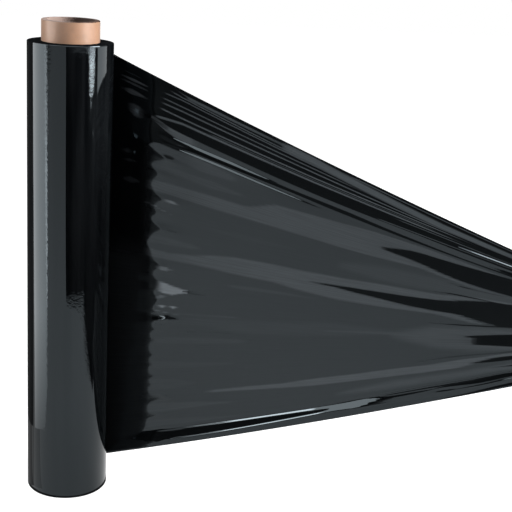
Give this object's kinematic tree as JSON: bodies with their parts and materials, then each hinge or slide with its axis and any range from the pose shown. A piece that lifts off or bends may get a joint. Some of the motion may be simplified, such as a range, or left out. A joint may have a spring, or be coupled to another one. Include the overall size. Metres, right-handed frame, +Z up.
{
  "type": "stretch wrap roll",
  "caption": "Upright roll of black stretch film on a cardboard core, its free end pulled off to one side in gathered folds.",
  "frame": {"origin": "on the roll's axis, at the lower end that it stands on", "axes": "+Z up the roll's axis, towards the end where the core stands out; the film is pulled off towards +X and -Y, 35 degrees round from +X"},
  "size_m": [0.4873, 0.3023, 0.522],
  "materials": {
    "core_card": "matte",
    "black_film": "gloss"
  },
  "bodies": {
    "root": {"core_tube": "core_card", "film": "black_film"}
  },
  "joints": []
}
